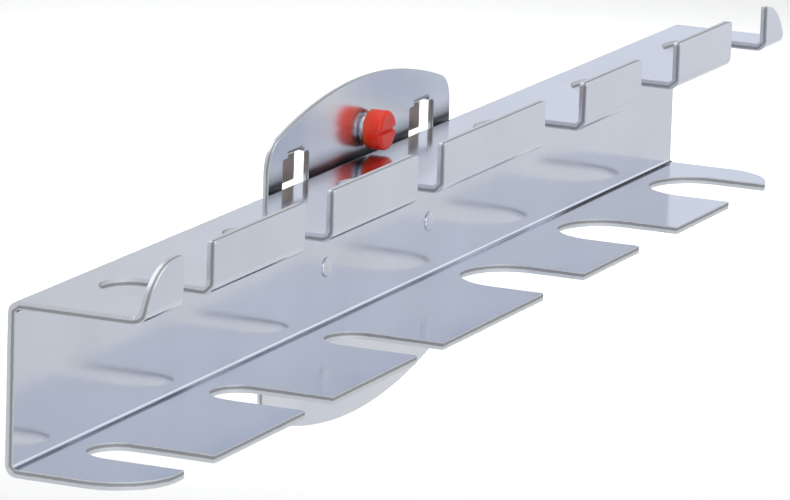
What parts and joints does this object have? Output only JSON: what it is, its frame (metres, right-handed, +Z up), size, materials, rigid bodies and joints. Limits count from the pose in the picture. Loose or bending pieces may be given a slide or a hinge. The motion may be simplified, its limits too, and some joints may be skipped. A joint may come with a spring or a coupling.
{
  "type": "slotted tool holder for perforated panels",
  "caption": "Zinc-plated channel rail with narrow and wide open-front tool slots, on a barrel-shaped hook-in plate with a red clamp screw.",
  "frame": {"origin": "where the axis of the clamp screw meets the panel's face, on the back of the mounting plate", "axes": "+X along the rail from the narrow slots to the wide ones, -Y towards the user, +Z up"},
  "size_m": [0.4, 0.0402, 0.087],
  "materials": {
    "zinc_plated_sheet": "bright zinc plating with a faint blue tint, fine rolling grain",
    "zinc_plated_steel": "bright zinc plating on turned steel",
    "red_plastic": "moulded, smooth, semi-gloss"
  },
  "bodies": {
    "holder": {"tool_rail": "zinc_plated_sheet", "mounting_plate": "zinc_plated_sheet", "left_rivet": "zinc_plated_steel", "right_rivet": "zinc_plated_steel"},
    "screw_stud": {"clamp_stud": "zinc_plated_steel"},
    "screw_head": {"clamp_head": "red_plastic"}
  },
  "joints": [
    {"name": "clamp_feed", "type": "slide", "parent": "holder", "child": "screw_stud", "axis": [0, 1, 0], "range_m": [-0.00125, 0.00083]},
    {"name": "clamp_turn", "type": "hinge", "parent": "screw_stud", "child": "screw_head", "pos_m": [0, -0.0054, 0], "axis": [0, 1, 0], "range_deg": [-361, 241]}
  ],
  "couplings": [
    {"joint": "clamp_turn", "follows": "clamp_feed", "rad_per_m": 5026.5}
  ]
}
